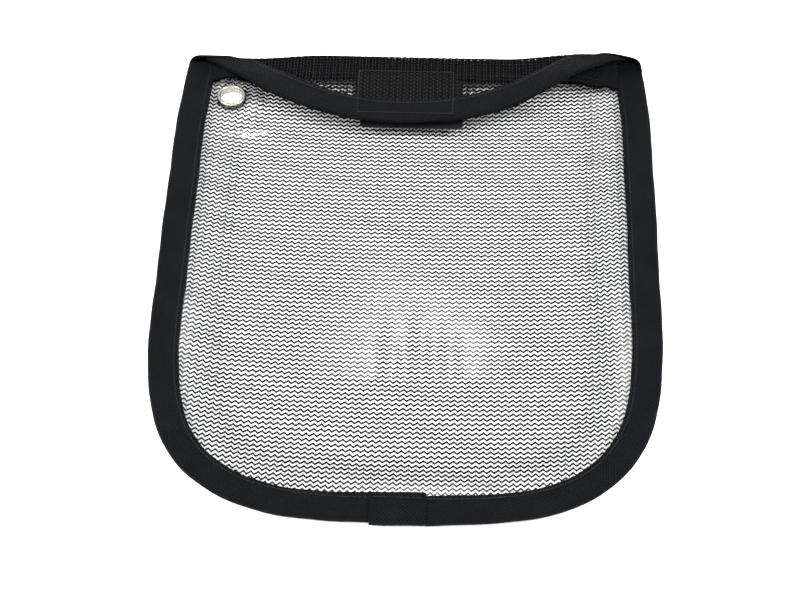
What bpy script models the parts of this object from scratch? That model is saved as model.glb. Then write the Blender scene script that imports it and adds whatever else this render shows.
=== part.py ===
"""Mesh lure bag: a flat pouch for one skirted trolling lure, lying on its back.

+X is to the bag's right, +Y towards the folded top edge and +Z up through the clear front. The bag's own
plan coordinates run from y = 0 at the bottom edge to y = FOLD_Y at the top fold, and every sheet is a height
over that plan. The origin is under the middle of the bag, on the surface that it lies on.
"""

import math

import bpy
import bmesh
import numpy as np

# Driving dimensions, in metres
WIDTH = 0.260  # across the widest part of the pouch
FOLD_Y = 0.306  # bottom edge to the flap's hinge line
CORNER_Y = 0.135  # height of the rounded bottom
CORNER_POWER = 3.2  # superellipse power of the rounded bottom
TAPER_START_Y = 0.245  # the sides draw in above this
TOP_TAPER = 0.003  # how far each side has drawn in at the fold
FLAP_DROP = 0.0525  # depth of the half-moon flap
FLAP_SHOULDER = 1.1  # fullness of the flap's curve between its middle and its corners
FLAP_FALL = 0.0022  # how far the flap comes down towards the fold
FALL_REACH = 0.020

GAP = 0.0003  # clearance between neighbours that touch
MESH_T = 0.0010
FILM_T = 0.0005
TAPE_T = 0.0009
PATCH_T = 0.0012
THREAD_R = 0.0002

BAND = 0.0155  # visible width of the folded perimeter and flap tape
MOUTH_BAND = 0.0135  # visible width of the folded mouth tape
PANEL_INSET = 0.0022  # panel edge to the tape's outer edge
TAPE_BEND = 0.0007  # rounding of the tape's fold
WEB = 0.0015  # tape thickness at its folded edge, with the turned-in cloth
STITCH_INSET = 0.0132  # seam to the tape's outer edge
LAP_HALF = 0.0135  # half the length over which the tape's two ends lap
LAP_T = 0.0008
LAP_MIDDLE_X = -0.001

TAPE_STEP = 0.0016  # how far the tape under the panel lifts the mesh off the ground
STEP_FALL = 0.025
SIDE_RISE = 0.0040  # upturn of the pouch's edge at the sides
BOTTOM_RISE = 0.0010  # and at the bottom
RISE_REACH = 0.045
TOP_RISE_SHARE = 0.25  # share of the side upturn that is left at the fold
CROWN = 0.0130  # height of the front film over the back mesh
MOUTH_CROWN = 0.0063  # and at the mouth
MOUTH_END = 0.0235  # mouth tape's ends to the pouch's outer edge
MOUTH_CLEAR = 0.0006  # between the film and each side of the mouth tape
CROWN_REACH = 0.060
MOUTH_REACH = 0.020
MOUTH_LIFT = 0.0026  # least height of the film under the mouth tape, also beside the eyelet

EYELET_X, EYELET_Y = -0.1012, 0.2805
EYELET_BORE_R = 0.0060
EYELET_R = 0.0085
EYELET_WALL = 0.0005
EYELET_FLANGE_T = 0.0010
WASHER_T = 0.0008
EYELET_SEAT = 0.0019  # height of the mesh where the eyelet clamps it
SEAT_MARGIN = 0.0027  # flat cloth past the eyelet's flange

PATCH_W, PATCH_H = 0.056, 0.0375
HOOK_X, HOOK_TOP = -0.0010, 0.0144  # centre, and top edge below the fold
LOOP_X, LOOP_TOP = -0.0046, 0.0114

MOUTH_Y = FOLD_Y - 0.0005  # top edge of the mouth tape
MOUTH_ROW = MOUTH_Y - MOUTH_BAND - 0.0005  # the film is clear of the mouth tape below this
SEWN_T = MESH_T + GAP + FILM_T  # both panels where the tape clamps them
FILM_TOP = MESH_T + GAP + MOUTH_CROWN + FILM_T  # film's upper face under the hook patch
HOOK_Z = FILM_TOP + GAP
LOOP_Z = HOOK_Z + PATCH_T + GAP
CROSSING = GAP + 2 * THREAD_R  # room for a thread between two layers
FLAP_Z = LOOP_Z + PATCH_T + CROSSING + GAP + TAPE_T + GAP  # underside of the flap's mesh
FLAP_TOP = FLAP_Z + MESH_T + GAP + TAPE_T + CROSSING + CROSSING
HINGE_Z = FLAP_TOP / 2 + 0.0002  # the opened flap then lies just clear of the ground


# Plan shape of the pouch


def half_width(y):
    """Half the pouch's width at the height y above its bottom edge."""
    y = np.asarray(y, float)
    below = np.clip((CORNER_Y - y) / CORNER_Y, 0, 1)
    rounded = WIDTH / 2 * (1 - below**CORNER_POWER) ** (1 / CORNER_POWER)
    return rounded - TOP_TAPER * (np.clip(y - TAPER_START_Y, 0, None) / (FOLD_Y - TAPER_START_Y)) ** 2


def resampled(points, step):
    """The polyline's points at an even spacing close to step, ends kept."""
    points = np.asarray(points, float)
    run = np.concatenate([[0], np.cumsum(np.linalg.norm(np.diff(points, axis=0), axis=1))])
    at = np.linspace(0, run[-1], max(2, round(run[-1] / step) + 1))
    return np.stack([np.interp(at, run, points[:, k]) for k in range(points.shape[1])], axis=1)


def pouch_edge(step, top):
    """The outer edge, down the left side, round the bottom and up the right side, at an even spacing."""
    turn = np.linspace(0, math.pi / 2, 400)
    x = WIDTH / 2 * np.cos(turn) ** (2 / CORNER_POWER)
    y = CORNER_Y * (1 - np.sin(turn) ** (2 / CORNER_POWER))
    side_y = np.linspace(top, CORNER_Y, 120, endpoint=False)
    right = np.concatenate(
        [np.stack([half_width(side_y), side_y], axis=1), np.stack([x, y], axis=1)]
    )
    left = right * (-1, 1)
    return resampled(np.concatenate([left, right[-2::-1]]), step)


def inward(edge):
    """Unit normals of an edge that runs with its inside on the left."""
    along = np.gradient(edge, axis=0)
    along /= np.linalg.norm(along, axis=1, keepdims=True)
    return np.stack([-along[:, 1], along[:, 0]], axis=1)


NEAR_EDGE = pouch_edge(0.0015, FOLD_Y)


def edge_distance(x, y):
    """Distance from a plan point to the pouch's outer edge, not counting the top."""
    points = np.stack([np.asarray(x, float), np.asarray(y, float)], axis=-1)
    away = np.linalg.norm(points[..., None, :] - NEAR_EDGE, axis=-1)
    return away.min(axis=-1)


def smooth(t):
    t = np.clip(t, 0, 1)
    return t * t * (3 - 2 * t)


def eyelet_blend(x, y, reach):
    """0 on the flat seat round the eyelet, 1 further off than reach."""
    r = np.hypot(np.asarray(x) - EYELET_X, np.asarray(y) - EYELET_Y)
    return smooth((r - EYELET_R - SEAT_MARGIN) / reach)


# Heights over the plan


def mesh_z(x, y):
    """Underside of the back mesh: a shallow dish, flat on the ground in the middle."""
    n = edge_distance(x, y)
    sideways = smooth(np.abs(x) / (WIDTH / 2)) * smooth(np.asarray(y) / CORNER_Y)
    rise = BOTTOM_RISE + (SIDE_RISE - BOTTOM_RISE) * sideways
    rise = rise * (1 - (1 - TOP_RISE_SHARE) * smooth((np.asarray(y) - 0.20) / 0.07))
    step = TAPE_STEP * (1 - smooth((n - BAND - 0.001) / STEP_FALL))
    dish = step + rise * np.clip(1 - n / RISE_REACH, 0, 1) ** 2
    seated = (1 - eyelet_blend(x, y, 0.010)) * smooth((n - BAND + 0.0005) / 0.0015)
    return dish + (EYELET_SEAT - dish) * seated


def film_z(x, y):
    """Underside of the front film, sewn down at the sides and bottom and slack at the mouth."""
    to_mouth = smooth((np.asarray(y) - 0.17) / (FOLD_Y - 0.056 - 0.17))
    reach = CROWN_REACH + (MOUTH_REACH - CROWN_REACH) * to_mouth
    height = CROWN + (MOUTH_CROWN - CROWN) * to_mouth
    inside = np.clip((edge_distance(x, y) - BAND - 0.003) / reach, 0, 1)
    crown = height * smooth(inside) * eyelet_blend(x, y, 0.034)
    at_mouth = smooth((np.asarray(y) - MOUTH_ROW) / 0.0022 + 1)
    lift = MOUTH_LIFT * at_mouth * smooth(inside * reach / 0.003)
    return mesh_z(x, y) + MESH_T + GAP + np.maximum(crown, lift)


# Building blocks


def material(name, colour, roughness, metallic=0.0, transmission=0.0):
    made = bpy.data.materials.new(name)
    made.use_nodes = True
    shader = made.node_tree.nodes["Principled BSDF"]
    shader.inputs["Base Color"].default_value = (*colour, 1.0)
    shader.inputs["Roughness"].default_value = roughness
    shader.inputs["Metallic"].default_value = metallic
    shader.inputs["Transmission Weight"].default_value = transmission
    return made


def finished(name, data, look, parent):
    """An object in the bag's plan coordinates, whatever its parent empty's place."""
    data.materials.append(look)
    made = bpy.data.objects.new(name, data)
    bpy.context.collection.objects.link(made)
    made.parent = parent
    if parent.name == "flap_hinge":
        made.location = (0, -FOLD_Y, -HINGE_Z)
    return made


def solid(name, rings, look, parent, closed=False):
    """Joins rings of points into one closed body: capped at both ends, or the last ring back to the first."""
    mesh = bmesh.new()
    loops = [[mesh.verts.new(point) for point in ring] for ring in rings]
    pairs = zip(loops, loops[1:] + loops[:1]) if closed else zip(loops, loops[1:])
    for near, far in pairs:
        for i in range(len(near)):
            j = (i + 1) % len(near)
            mesh.faces.new((near[i], near[j], far[j], far[i]))
    if not closed:
        mesh.faces.new(reversed(loops[0]))
        mesh.faces.new(loops[-1])
    bmesh.ops.recalc_face_normals(mesh, faces=mesh.faces)
    data = bpy.data.meshes.new(name)
    mesh.to_mesh(data)
    mesh.free()
    data.shade_smooth()
    data.set_sharp_from_angle(angle=math.radians(35))
    return finished(name, data, look, parent)


def sheet(name, x, y, under, thickness, look, parent):
    """A sheet over a grid of plan points, under being the height of its lower face."""
    mesh = bmesh.new()
    rows, columns = x.shape
    faces = []
    for lift in (0.0, thickness):
        points = np.stack([x, y, under + lift], axis=-1)
        faces.append([[mesh.verts.new(point) for point in row] for row in points])
    low, high = faces
    for r in range(rows - 1):
        for c in range(columns - 1):
            for side in (low, high):
                mesh.faces.new((side[r][c], side[r][c + 1], side[r + 1][c + 1], side[r + 1][c]))
    rim = [(0, c) for c in range(columns)] + [(r, columns - 1) for r in range(1, rows)]
    rim += [(rows - 1, c) for c in range(columns - 2, -1, -1)] + [(r, 0) for r in range(rows - 2, 0, -1)]
    for (a, b), (c, d) in zip(rim, rim[1:] + rim[:1]):
        mesh.faces.new((low[a][b], low[c][d], high[c][d], high[a][b]))
    bmesh.ops.recalc_face_normals(mesh, faces=mesh.faces)
    data = bpy.data.meshes.new(name)
    mesh.to_mesh(data)
    mesh.free()
    return finished(name, data, look, parent)


def thread(name, path, look, parent, closed=False):
    """A sewing thread along a path, as a thin tube."""
    data = bpy.data.curves.new(name, "CURVE")
    data.dimensions = "3D"
    data.bevel_depth = THREAD_R
    data.bevel_resolution = 0
    data.use_fill_caps = not closed
    spline = data.splines.new("POLY")
    spline.points.add(len(path) - 1)
    for point, place in zip(spline.points, path):
        point.co = (*place, 1.0)
    spline.use_cyclic_u = closed
    return finished(name, data, look, parent)


def cut(target, cutter):
    """Takes the cutter's shape out of the target."""
    cutter.hide_render = True
    cutter.display_type = "WIRE"
    step = target.modifiers.new("cut_" + cutter.name, "BOOLEAN")
    step.operation = "DIFFERENCE"
    step.object = cutter


def cylinder_cutter(name, x, y, radius, look, parent):
    ring = [
        (x + radius * math.cos(a), y + radius * math.sin(a))
        for a in np.linspace(0, 2 * math.pi, 48, endpoint=False)
    ]
    return solid(name, [[(*p, z) for p in ring] for z in (-0.01, 0.03)], look, parent)


def tape_section(layers, extra=0.0, wider=0.0, clear=GAP, across=1):
    """Folded tape round a sewn edge, as (distance in from its fold, height over the sewn layers' underside).
    Each face of the tape is a number of strips across."""
    under, over = -clear - TAPE_T, layers + clear + TAPE_T + extra
    inside = np.linspace(WEB, BAND, across + 1)[1:-1]
    outside = np.linspace(2 * TAPE_BEND, BAND, across + 1)[1:-1]
    return [
        (BAND, under),
        *[(n, under) for n in outside[::-1]],
        (2 * TAPE_BEND, under),
        (TAPE_BEND / 2, under + TAPE_BEND),
        (0.0, layers / 2),
        (TAPE_BEND / 2, over - TAPE_BEND),
        (2 * TAPE_BEND, over),
        *[(n, over) for n in outside],
        (BAND + wider, over),
        (BAND + wider, layers + clear),
        *[(n, layers + clear) for n in inside[::-1]],
        (WEB, layers + clear),
        (WEB, -clear),
        *[(n, -clear) for n in inside],
        (BAND, -clear),
    ]


# The pieces


def with_lines(lines, wanted, least):
    """Sorted grid lines: the wanted ones, and those of the others that aren't within least of them."""
    kept = [line for line in lines if np.abs(line - wanted).min() > least]
    return np.sort(np.concatenate([kept, wanted]))


SEAT_LINES = np.linspace(-1, 1, 7) * (EYELET_R + SEAT_MARGIN)


def panel_columns(reach_at_eyelet, columns=23):
    """Places across a panel, from -1 at its left edge to 1 at its right, closer together near the edges."""
    u = np.sin(np.linspace(-math.pi / 2, math.pi / 2, columns))
    at_tape, at_mouth_end = 1 - (np.array([BAND + 0.0005, MOUTH_END]) - PANEL_INSET) / reach_at_eyelet
    wanted = np.append((EYELET_X + SEAT_LINES) / reach_at_eyelet, [at_tape, at_mouth_end, -at_mouth_end])
    return with_lines(u, np.sort(wanted), 0.0025 / reach_at_eyelet)


def panel_reach():
    """Height and half width along the edge of a pouch panel, just inside the tape's fold."""
    edge = pouch_edge(0.002, FOLD_Y + 0.003)
    inner = edge + inward(edge) * PANEL_INSET
    right = inner[inner[:, 0] > 0.002]
    right = right[np.argsort(right[:, 1])]
    return right[:, 1], right[:, 0]


def panel_grid(top, rows=26):
    """Plan points of a pouch panel, from just inside the tape's fold to the height top."""
    height, width = panel_reach()
    low = height[0] + 0.0008
    y = low + (top - low) * np.linspace(0, 1, rows) ** 1.3
    at_seat = EYELET_Y + np.append(SEAT_LINES[:-2], [EYELET_R + 0.0002])
    y = with_lines(y, np.append(at_seat, [BAND + 0.0005, MOUTH_ROW, top]), 0.0025)
    u = panel_columns(np.interp(EYELET_Y, height, width))
    reach = np.interp(y, height, width)
    return reach[:, None] * u[None, :], np.repeat(y[:, None], len(u), axis=1)


def back_mesh_panel(look, parent, hole):
    x, y = panel_grid(FOLD_Y - GAP)
    made = sheet("back_mesh_panel", x, y, mesh_z(x, y), MESH_T, look, parent)
    cut(made, hole)


def front_clear_panel(look, parent, hole):
    x, y = panel_grid(MOUTH_Y - PANEL_INSET)
    made = sheet("front_clear_panel", x, y, film_z(x, y), FILM_T, look, parent)
    cut(made, hole)


def perimeter_binding(look, parent):
    """The tape round the sides and bottom, thicker and wider at the bottom centre where its ends lap."""
    edge = pouch_edge(0.009, FOLD_Y - GAP)
    steps = [LAP_MIDDLE_X + side * (LAP_HALF + slack) for side in (-1, 1) for slack in (0, 0.0004)]
    lap = [(x, np.interp(x, edge[:, 0], edge[:, 1])) for x in steps]
    low = edge[:, 1] < 0.02
    bottom = sorted([tuple(p) for p in edge[low]] + lap)
    first = int(np.argmax(low))
    edge = np.concatenate([edge[:first], bottom, edge[first + low.sum():]])
    rings = []
    for (x, y), (nx, ny) in zip(edge, inward(edge)):
        lapped = y < 0.02 and abs(x - LAP_MIDDLE_X) <= LAP_HALF + 1e-6
        section = tape_section(SEWN_T, LAP_T if lapped else 0.0, LAP_T if lapped else 0.0)
        at = [(x + nx * n, y + ny * n) for n, _ in section]
        floor = mesh_z([p[0] for p in at], [p[1] for p in at])
        rings.append([(*p, z + lift) for p, z, (_, lift) in zip(at, floor, section)])
    solid("perimeter_binding", rings, look, parent)


def mouth_stations():
    """X places along the mouth tape, on the film's own grid lines, from one side tape to the other."""
    height, width = panel_reach()
    u = panel_columns(np.interp(EYELET_Y, height, width))
    x = np.interp(MOUTH_Y - MOUTH_BAND / 2, height, width) * u
    return x[np.abs(x) < half_width(MOUTH_Y - MOUTH_BAND / 2) - MOUTH_END + 0.001]


def mouth_binding(look, parent):
    """The narrower tape over the film's free top edge."""
    shape = [(min(n, MOUTH_BAND), lift) for n, lift in tape_section(FILM_T, clear=MOUTH_CLEAR)]
    rings = []
    for x in mouth_stations():
        at_y = [MOUTH_Y - n for n, _ in shape]
        floor = film_z(np.full(len(at_y), x), at_y)
        rings.append([(x, y, z + lift) for y, z, (_, lift) in zip(at_y, floor, shape)])
    solid("mouth_binding", rings, look, parent)


def flap_edge_y(x):
    """Height of the flap's curved edge, deepest in the middle and up to the fold at its corners."""
    t = np.asarray(x) ** 2 / (WIDTH / 2 - TOP_TAPER) ** 2
    return FOLD_Y - FLAP_DROP + FLAP_DROP * t * (1 + FLAP_SHOULDER * t * (1 - t))


def flap_z(y):
    """Underside of the flap's mesh, level over the patches and lower at the fold."""
    return FLAP_Z - FLAP_FALL * smooth((np.asarray(y) - FOLD_Y + FALL_REACH) / FALL_REACH)


def flap_edge(step):
    x = np.linspace(-1, 1, 401) * (WIDTH / 2 - TOP_TAPER)
    return resampled(np.stack([x, flap_edge_y(x)], axis=1), step)


def flap_mesh_panel(look, parent):
    """The half-moon of mesh, from the hinge line to just inside its tape's fold."""
    edge = flap_edge(0.002)
    inner = edge + inward(edge) * PANEL_INSET
    inner = inner[inner[:, 1] < FOLD_Y - 0.004]
    u = np.sin(np.linspace(-math.pi / 2, math.pi / 2, 25))
    x = inner[-1, 0] * u
    low = np.interp(x, inner[:, 0], inner[:, 1])
    v = np.linspace(0, 1, 13)[:, None]
    y = low + (FOLD_Y - GAP - low) * v
    x = np.repeat(x[None, :], len(v), axis=0)
    sheet("flap_mesh_panel", x, y, flap_z(y), MESH_T, look, parent)


def flap_binding(look, parent):
    """The tape round the flap's curved edge, cut off along the hinge line."""
    edge = flap_edge(0.007)
    rings = []
    for (x, y), (nx, ny) in zip(edge, inward(edge)):
        section = tape_section(MESH_T, across=4)
        rings.append([(x + nx * n, y + ny * n, flap_z(y + ny * n) + lift) for n, lift in section])
    made = solid("flap_binding", rings, look, parent)
    reach = [(-WIDTH, FOLD_Y - GAP), (WIDTH, FOLD_Y - GAP), (WIDTH, FOLD_Y + 0.1), (-WIDTH, FOLD_Y + 0.1)]
    cutter = solid("beyond_hinge", [[(*p, z) for p in reach] for z in (-0.01, 0.05)], look, parent)
    cut(made, cutter)


def patch(name, x_middle, top_below_fold, z, look, parent):
    """A hook or loop rectangle with small rounded corners."""
    corner, ring = 0.002, []
    for quarter, (sx, sy) in enumerate(((1, 0), (-1, 0), (-1, -1), (1, -1))):
        cx = x_middle + sx * (PATCH_W / 2 - corner)
        cy = FOLD_Y - top_below_fold - corner if sy == 0 else FOLD_Y - top_below_fold - PATCH_H + corner
        for a in np.linspace(0, math.pi / 2, 5) + quarter * math.pi / 2:
            ring.append((cx + corner * math.cos(a), cy + corner * math.sin(a)))
    solid(name, [[(*p, z) for p in ring], [(*p, z + PATCH_T) for p in ring]], look, parent)


def turned(name, profile, look, parent, segments=48):
    """A closed profile of (radius, height) turned round the eyelet's axis."""
    rings = []
    for a in np.linspace(0, 2 * math.pi, segments, endpoint=False):
        rings.append([(EYELET_X + r * math.cos(a), EYELET_Y + r * math.sin(a), z) for r, z in profile])
    solid(name, rings, look, parent, closed=True)


def eyelet(look, parent):
    """Barrel and rolled front flange in one piece."""
    top = EYELET_SEAT + SEWN_T + GAP
    crest = top + EYELET_FLANGE_T
    barrel = EYELET_BORE_R + EYELET_WALL
    profile = [
        (EYELET_BORE_R, EYELET_SEAT - GAP - WASHER_T),
        (EYELET_BORE_R, crest - 0.0006),
        (EYELET_BORE_R + 0.0003, crest - 0.0002),
        (EYELET_BORE_R + 0.0009, crest),
        (EYELET_R - 0.0008, crest),
        (EYELET_R - 0.0002, crest - 0.0003),
        (EYELET_R, top + 0.0002),
        (EYELET_R - 0.0003, top),
        (barrel, top),
        (barrel, EYELET_SEAT - GAP - WASHER_T),
    ]
    turned("eyelet", profile[::-1], look, parent)


def eyelet_washer(look, parent):
    """The ring at the back that the barrel is set against. Its rear face is flat."""
    low = EYELET_SEAT - GAP - WASHER_T
    inner = EYELET_BORE_R + EYELET_WALL + GAP
    profile = [
        (inner, low),
        (inner, low + WASHER_T),
        (EYELET_R, low + WASHER_T),
        (EYELET_R, low + 0.0003),
        (EYELET_R - 0.0003, low),
    ]
    turned("eyelet_washer", profile[::-1], look, parent)


def perimeter_threads(look, parent):
    """Needle thread over the tape and bobbin thread under it, along one seam."""
    edge = pouch_edge(0.006, FOLD_Y - 0.003)
    line = edge + inward(edge) * STITCH_INSET
    floor = mesh_z(line[:, 0], line[:, 1])
    lapped = (line[:, 1] < 0.03) & (np.abs(line[:, 0] - LAP_MIDDLE_X) < LAP_HALF + 0.007)
    over = floor + SEWN_T + GAP + TAPE_T + GAP + THREAD_R + LAP_T * lapped
    under = floor - GAP - TAPE_T - GAP - THREAD_R
    thread("perimeter_needle_thread", np.column_stack([line, over]), look, parent)
    thread("perimeter_bobbin_thread", np.column_stack([line, under]), look, parent)


def mouth_threads(look, parent):
    """The mouth's seam, over and under the tape, whose faces run straight from its fold to its inner edge."""
    x = mouth_stations()[1:-1]
    seam, fold = 0.010, 2 * TAPE_BEND
    y = np.full(len(x), MOUTH_Y - seam)
    share = (seam - fold) / (MOUTH_BAND - fold)
    floor = film_z(x, y - fold + seam) * (1 - share) + film_z(x, y - MOUTH_BAND + seam) * share
    beyond = MOUTH_CLEAR + TAPE_T + GAP + THREAD_R
    thread("mouth_needle_thread", np.column_stack([x, y, floor + FILM_T + beyond]), look, parent)
    thread("mouth_bobbin_thread", np.column_stack([x, y, floor - beyond]), look, parent)


def flap_threads(look, parent):
    """The flap's seam. Its bobbin thread runs under the tape and over the loop patch."""
    edge = flap_edge(0.006)
    line = edge + inward(edge) * STITCH_INSET
    line = line[line[:, 1] < FOLD_Y - 0.003]
    beyond = GAP + TAPE_T + GAP + THREAD_R
    floor = flap_z(line[:, 1])
    over, under = floor + MESH_T + beyond, floor - beyond
    thread("flap_needle_thread", np.column_stack([line, over]), look, parent)
    thread("flap_bobbin_thread", np.column_stack([line, under]), look, parent)


def rectangle(x_middle, top, inset, step=0.004):
    """A patch's seam line, inset from the patch's edge."""
    x0, x1 = x_middle - PATCH_W / 2 + inset, x_middle + PATCH_W / 2 - inset
    y0, y1 = FOLD_Y - top - PATCH_H + inset, FOLD_Y - top - inset
    corners = [(x0, y0), (x1, y0), (x1, y1), (x0, y1), (x0, y0)]
    return resampled(corners, step)[:-1]


def patch_threads(look, pouch, hinge):
    """The hook patch's seam shows inside the pouch, and the loop patch's on top of the flap."""
    inside = rectangle(HOOK_X, HOOK_TOP, 0.0020)
    under = np.full(len(inside), FILM_TOP - FILM_T - GAP - THREAD_R)
    thread("hook_patch_thread", np.column_stack([inside, under]), look, pouch, closed=True)
    outside = rectangle(LOOP_X, LOOP_TOP, 0.0020, 0.0015)
    into_flap = outside[:, 1] - flap_edge_y(outside[:, 0])
    on_tape = into_flap < BAND + 0.0025
    on_seam = np.abs(into_flap - STITCH_INSET) < 0.0025
    over = flap_z(outside[:, 1]) + MESH_T + GAP + THREAD_R + (TAPE_T + GAP) * on_tape + CROSSING * on_seam
    thread("loop_patch_thread", np.column_stack([outside, over]), look, hinge, closed=True)


def empty(name, place, parent=None):
    made = bpy.data.objects.new(name, None)
    bpy.context.collection.objects.link(made)
    made.parent = parent
    made.location = place
    return made


def main():
    for old in list(bpy.data.objects):
        bpy.data.objects.remove(old)
    knit = material("black_knit_mesh", (0.020, 0.020, 0.022), 0.65)
    film = material("clear_film", (0.90, 0.92, 0.93), 0.12, transmission=0.9)
    tape = material("black_binding_tape", (0.018, 0.018, 0.020), 0.80)
    hooks = material("black_hook_tape", (0.012, 0.012, 0.013), 0.60)
    loops = material("black_loop_tape", (0.012, 0.012, 0.013), 0.95)
    nickel = material("nickel_plate", (0.72, 0.71, 0.69), 0.25, metallic=1.0)
    cotton = material("black_thread", (0.030, 0.030, 0.032), 0.55)

    pouch = empty("pouch", (0, -(FOLD_Y - GAP) / 2, 0))
    hinge = empty("flap_hinge", (0, FOLD_Y, HINGE_Z), pouch)
    hole_r = EYELET_BORE_R + EYELET_WALL + GAP
    hole = cylinder_cutter("eyelet_hole", EYELET_X, EYELET_Y, hole_r, nickel, pouch)

    back_mesh_panel(knit, pouch, hole)
    front_clear_panel(film, pouch, hole)
    perimeter_binding(tape, pouch)
    mouth_binding(tape, pouch)
    patch("hook_patch", HOOK_X, HOOK_TOP, HOOK_Z, hooks, pouch)
    eyelet(nickel, pouch)
    eyelet_washer(nickel, pouch)
    perimeter_threads(cotton, pouch)
    mouth_threads(cotton, pouch)

    flap_mesh_panel(knit, hinge)
    flap_binding(tape, hinge)
    patch("loop_patch", LOOP_X, LOOP_TOP, LOOP_Z, loops, hinge)
    flap_threads(cotton, hinge)
    patch_threads(cotton, pouch, hinge)


main()
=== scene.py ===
"""Looks of the mesh lure bag: yarn-built knit, clear film, woven binding tape, lockstitch seams,
hook and loop fastener and a set eyelet, round the CAD frame.

Plan coordinates are the bag's own: y = 0 at its bottom edge, y = FOLD_Y at the flap's fold.
placed() moves them into the row frame.
"""

import math

import bmesh
import bpy
import numpy as np
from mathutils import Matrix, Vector


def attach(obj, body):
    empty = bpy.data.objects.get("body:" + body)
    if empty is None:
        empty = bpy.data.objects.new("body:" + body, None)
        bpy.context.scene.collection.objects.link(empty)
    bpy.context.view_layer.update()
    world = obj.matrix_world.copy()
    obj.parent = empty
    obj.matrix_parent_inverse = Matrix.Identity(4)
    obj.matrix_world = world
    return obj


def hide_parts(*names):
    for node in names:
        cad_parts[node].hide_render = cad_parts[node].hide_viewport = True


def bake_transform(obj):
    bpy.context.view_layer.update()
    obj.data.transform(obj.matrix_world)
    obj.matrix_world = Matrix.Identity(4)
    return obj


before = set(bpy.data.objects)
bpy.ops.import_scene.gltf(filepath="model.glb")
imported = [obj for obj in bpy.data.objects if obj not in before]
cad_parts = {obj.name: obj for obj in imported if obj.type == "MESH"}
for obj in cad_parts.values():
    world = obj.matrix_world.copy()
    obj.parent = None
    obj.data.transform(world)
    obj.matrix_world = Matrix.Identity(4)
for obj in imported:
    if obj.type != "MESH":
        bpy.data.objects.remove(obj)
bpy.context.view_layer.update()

MM = 0.001

# Plan shape, in metres
WIDTH = 0.260
FOLD_Y = 0.306
CORNER_Y = 0.135
CORNER_POWER = 3.2
TAPER_START_Y = 0.245
TOP_TAPER = 0.003
FLAP_DROP = 0.0525
FLAP_SHOULDER = 1.1
FLAP_FALL = 0.0029
FALL_REACH = 0.020
FLAP_SHIFT = -0.0062  # the flap's lowest point lies left of the middle
CORNER_LIFT = (-0.0035, 0.0052)  # the flap's left end is pressed down, its right end stands off

# Layers, tapes and the lap of the binding's two ends
GAP = 0.0003
MOUTH_GAP = 0.0005
MESH_T = 0.0010
FILM_T = 0.0005
TAPE_T = 0.0009
PATCH_T = 0.0012
BAND = 0.0155
MOUTH_BAND = 0.0135
STITCH_INSET = 0.0132
MOUTH_STITCH_INSET = 0.0108
LAP_HALF = 0.0135
LAP_T = 0.0008
LAP_MIDDLE_X = -0.001
LAP_OFFSET = 0.0013
LAP_REACH = 0.07
BOTTOM_Y = 0.02

# Heights of the two panels
TAPE_STEP = 0.0016
STEP_FALL = 0.025
SIDE_RISE = 0.0040
BOTTOM_RISE = 0.0010
RISE_REACH = 0.045
TOP_RISE_SHARE = 0.25
CROWN = 0.0130
MOUTH_CROWN = 0.0063
CROWN_REACH = 0.060
MOUTH_REACH = 0.020
MOUTH_LIFT = 0.0026

# Eyelet and patches
EYELET_X, EYELET_Y = -0.1012, 0.2805
EYELET_BORE_R = 0.0060
EYELET_R = 0.0081
EYELET_SEAT = 0.0019
CAD_EYELET_R = 0.0085
SEAT_MARGIN = 0.0027
WASHER_T = 0.0008
PATCH_W, PATCH_H = 0.056, 0.0375
HOOK_X, HOOK_TOP = -0.0010, 0.0144
LOOP_X, LOOP_TOP = -0.0046, 0.0114

# Heights that follow from the layers
MOUTH_Y = FOLD_Y - 0.0005
MOUTH_TUCK = 0.0014  # how far the mouth tape reaches up into the fold's roll
MOUTH_ROW = MOUTH_Y - MOUTH_BAND - 0.0005
SEWN_T = MESH_T + GAP + FILM_T
HOOK_Z = GAP + MESH_T + FILM_T + MOUTH_CROWN + GAP
LOOP_Z = HOOK_Z + PATCH_T + GAP
THREAD_R = 0.0002
CROSSING = GAP + 2 * THREAD_R
FLAP_Z = LOOP_Z + PATCH_T + CROSSING + GAP + TAPE_T + GAP

# The fold's roll of cloth
ROLL_BULGE = 0.0012
ROLL_LENGTH = 0.0161
CORNER_ROUND = 0.0030  # how far the flap's two ends are drawn in from the pouch's corners
CORNER_REACH = 0.0285
FOLD_SKEW = 0.0018  # sideways shift of the cloth over the fold

# The knit
PITCH = 0.00288
PERIOD = 0.00363
ZIGZAG = 0.00175
FALL_SHARE = 0.42  # of a zigzag's period that falls to the right
YARN_W, YARN_T = 0.00068, 0.00046  # half width and half thickness
FLAP_YARN_W = 0.00054
LEG_R = 0.00008
SAG = 0.0050  # how much higher a row is at the sides than in the middle
KNIT_INSET = 0.0035
KNIT_REACH = 0.1250

ORIGIN_Y = -(FOLD_Y - GAP) / 2
rng = np.random.default_rng(7)


# Plan shape and heights


def smooth(t):
    t = np.clip(t, 0, 1)
    return t * t * (3 - 2 * t)


def half_width(y):
    y = np.asarray(y, float)
    below = np.clip((CORNER_Y - y) / CORNER_Y, 0, 1)
    rounded = WIDTH / 2 * (1 - below**CORNER_POWER) ** (1 / CORNER_POWER)
    return rounded - TOP_TAPER * (np.clip(y - TAPER_START_Y, 0, None) / (FOLD_Y - TAPER_START_Y)) ** 2


def resampled(points, step):
    points = np.asarray(points, float)
    run = np.concatenate([[0], np.cumsum(np.linalg.norm(np.diff(points, axis=0), axis=1))])
    at = np.linspace(0, run[-1], max(2, round(run[-1] / step) + 1))
    return np.stack([np.interp(at, run, points[:, k]) for k in range(points.shape[1])], axis=1)


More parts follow.
